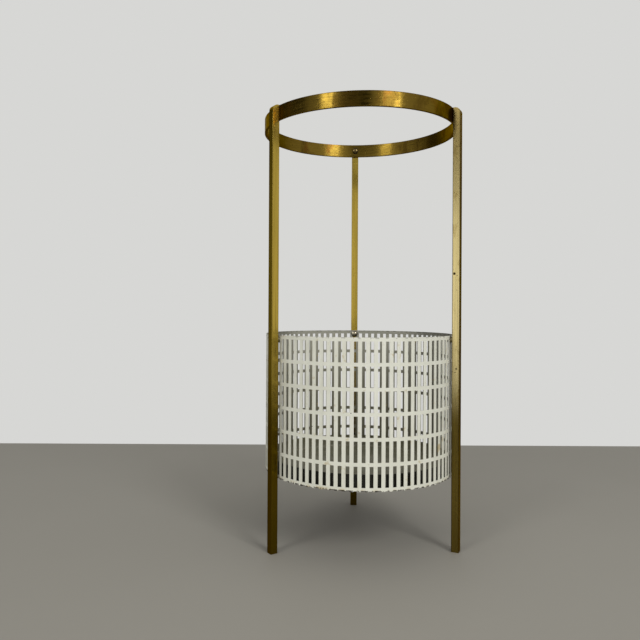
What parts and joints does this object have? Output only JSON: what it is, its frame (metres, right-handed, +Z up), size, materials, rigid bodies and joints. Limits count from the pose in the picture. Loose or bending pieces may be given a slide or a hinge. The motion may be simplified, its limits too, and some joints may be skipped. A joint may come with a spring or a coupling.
{
  "type": "umbrella stand",
  "caption": "Round umbrella stand: perforated sheet basket with a lift-out drip tray and a flat brass top ring, held between square brass legs.",
  "frame": {"origin": "on the floor, in the middle of the footprint's bounding box; the axis of the basket and ring is 4 mm in front of it", "axes": "+Z up along the legs; -Y is the front, between the left and right legs; the back leg is at +Y; +X is to the right seen from the front"},
  "size_m": [0.23, 0.2384, 0.5],
  "materials": {
    "leg_brass": "aged, darker towards the feet",
    "ring_brass": "aged, patchy brown patina",
    "screw_brass": "aged",
    "spacer_brass": "aged",
    "cream_lacquer": "satin cream lacquer with small stains and chips",
    "black_lacquer": "glossy black lacquer"
  },
  "bodies": {
    "stand": {"leg_left": "leg_brass", "leg_right": "leg_brass", "leg_back": "leg_brass", "top_ring": "ring_brass", "ring_screw_left": "screw_brass", "ring_screw_right": "screw_brass", "ring_screw_back": "screw_brass", "basket": "cream_lacquer", "basket_screw_left": "screw_brass", "basket_screw_right": "screw_brass", "basket_screw_back": "screw_brass", "spacer_left": "spacer_brass", "spacer_right": "spacer_brass", "spacer_back": "spacer_brass"},
    "tray": {"drip_tray": "black_lacquer"}
  },
  "joints": [
    {"name": "tray_lift", "type": "slide", "parent": "stand", "child": "tray", "axis": [0, 0, 1], "range_m": [0, 0.45]}
  ]
}
